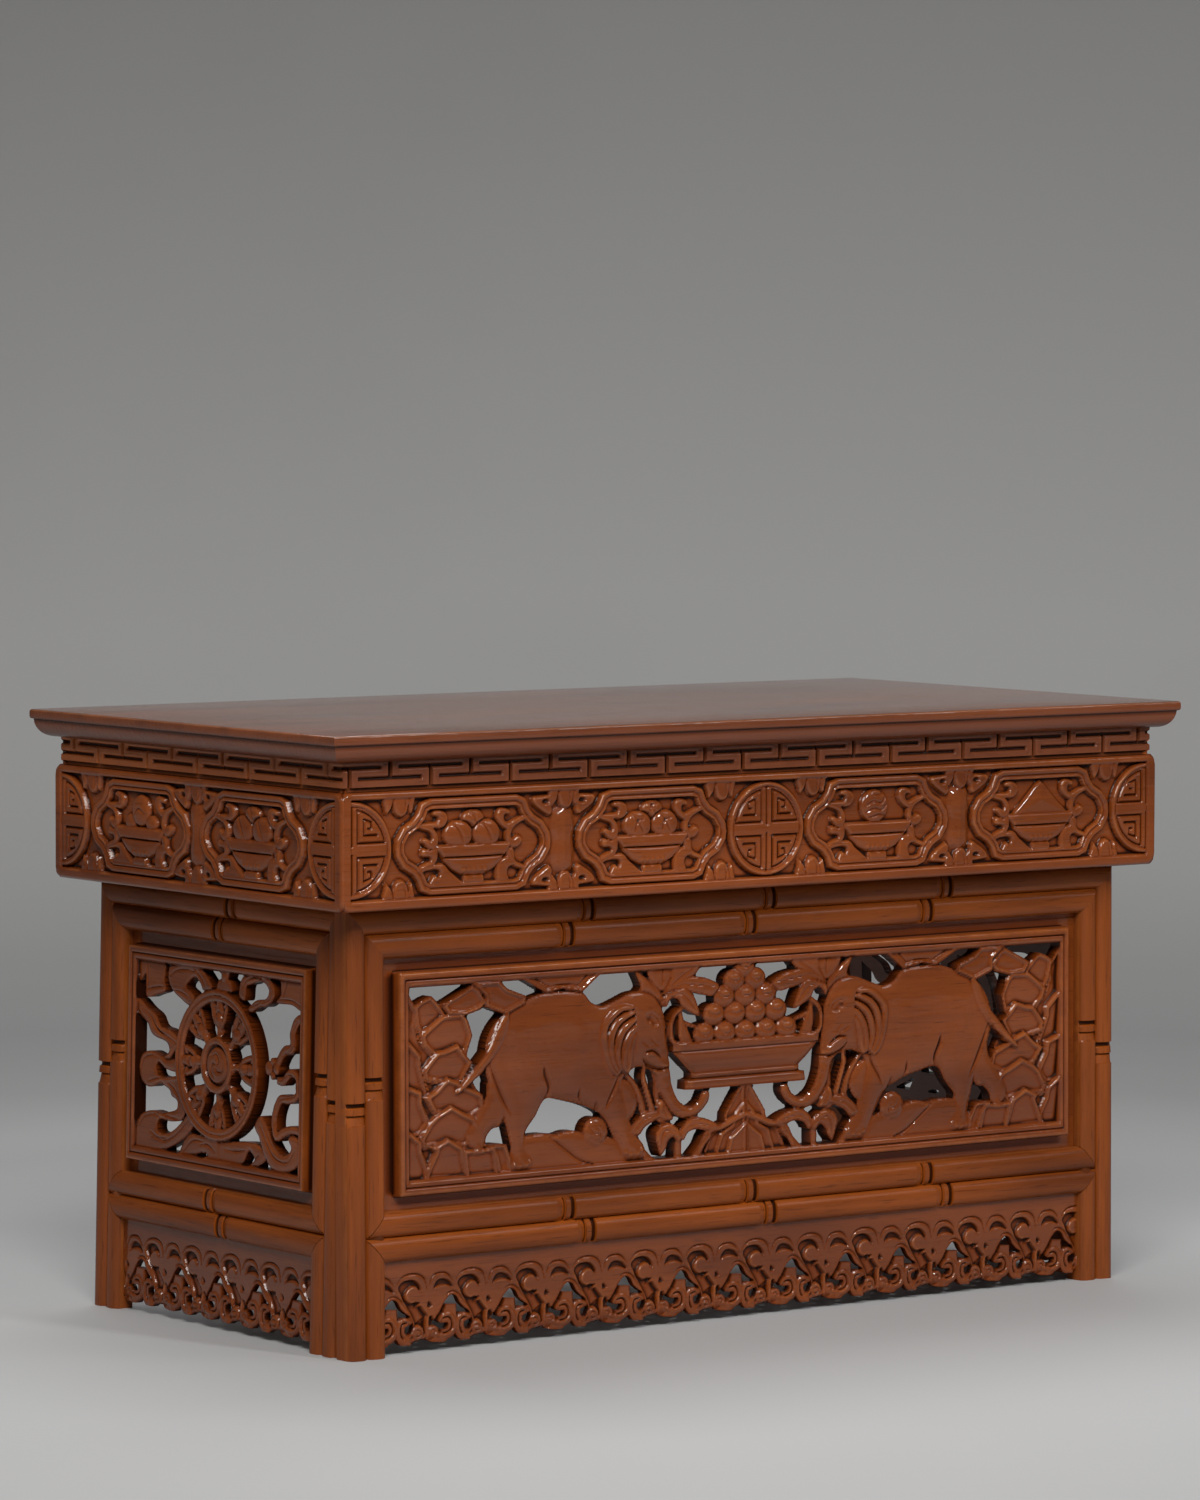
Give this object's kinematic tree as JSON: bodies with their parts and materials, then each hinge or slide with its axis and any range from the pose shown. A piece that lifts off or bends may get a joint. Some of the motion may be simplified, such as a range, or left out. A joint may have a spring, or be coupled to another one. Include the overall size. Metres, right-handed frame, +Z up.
{
  "type": "folding altar table",
  "caption": "Low carved wooden table: a moulded top on a carved apron box that stands on openwork panels, hinged so that the side panels fold inward under the top.",
  "frame": {"origin": "middle of the footprint on the floor", "axes": "+X to the right along the front, +Y to the back, +Z up"},
  "size_m": [0.704, 0.361, 0.4],
  "materials": {
    "top_wood": "glossy brown varnish",
    "carved_wood": "glossy red-brown varnish, darker in the recesses",
    "frame_wood": "glossy red-brown varnish",
    "inner_wood": "thin matt varnish",
    "hinge_brass": "satin brass",
    "screw_brass": "satin brass"
  },
  "bodies": {
    "top": {"back_apron": "carved_wood", "back_fret_frieze": "carved_wood", "corner_blocks": "inner_wood", "front_apron": "carved_wood", "front_fret_frieze": "carved_wood", "front_hinge_fixed_leaves": "hinge_brass", "front_hinge_fixed_screws": "screw_brass", "front_hinge_pins": "hinge_brass", "front_hinge_rail": "inner_wood", "left_apron": "carved_wood", "left_fret_frieze": "carved_wood", "left_hinge_fixed_leaves": "hinge_brass", "left_hinge_fixed_screws": "screw_brass", "left_hinge_pins": "hinge_brass", "left_hinge_rail": "inner_wood", "right_apron": "carved_wood", "right_fret_frieze": "carved_wood", "right_hinge_fixed_leaves": "hinge_brass", "right_hinge_fixed_screws": "screw_brass", "right_hinge_pins": "hinge_brass", "right_hinge_rail": "inner_wood", "top_board": "top_wood"},
    "front_panel": {"front_carved_panel": "carved_wood", "front_hinge_moving_leaves": "hinge_brass", "front_hinge_moving_screws": "screw_brass", "front_left_stile": "frame_wood", "front_lower_rail": "frame_wood", "front_right_stile": "frame_wood", "front_skirt": "carved_wood", "front_top_rail": "frame_wood"},
    "left_panel": {"left_carved_panel": "carved_wood", "left_hinge_moving_leaves": "hinge_brass", "left_hinge_moving_screws": "screw_brass", "left_left_stile": "frame_wood", "left_lower_rail": "frame_wood", "left_right_stile": "frame_wood", "left_skirt": "carved_wood", "left_top_rail": "frame_wood"},
    "right_panel": {"right_carved_panel": "carved_wood", "right_hinge_moving_leaves": "hinge_brass", "right_hinge_moving_screws": "screw_brass", "right_left_stile": "frame_wood", "right_lower_rail": "frame_wood", "right_right_stile": "frame_wood", "right_skirt": "carved_wood", "right_top_rail": "frame_wood"}
  },
  "joints": [
    {"name": "left_panel_fold", "type": "hinge", "parent": "top", "child": "left_panel", "pos_m": [-0.3004, 0.0114, 0.2988], "axis": [0, -1, 0], "range_deg": [0, 91.2]},
    {"name": "right_panel_fold", "type": "hinge", "parent": "top", "child": "right_panel", "pos_m": [0.3004, 0.0114, 0.2988], "axis": [0, 1, 0], "range_deg": [0, 91.2]},
    {"name": "front_panel_play", "type": "hinge", "parent": "top", "child": "front_panel", "pos_m": [0, -0.1338, 0.2845], "axis": [1, 0, 0], "range_deg": [0, 0.9]}
  ]
}
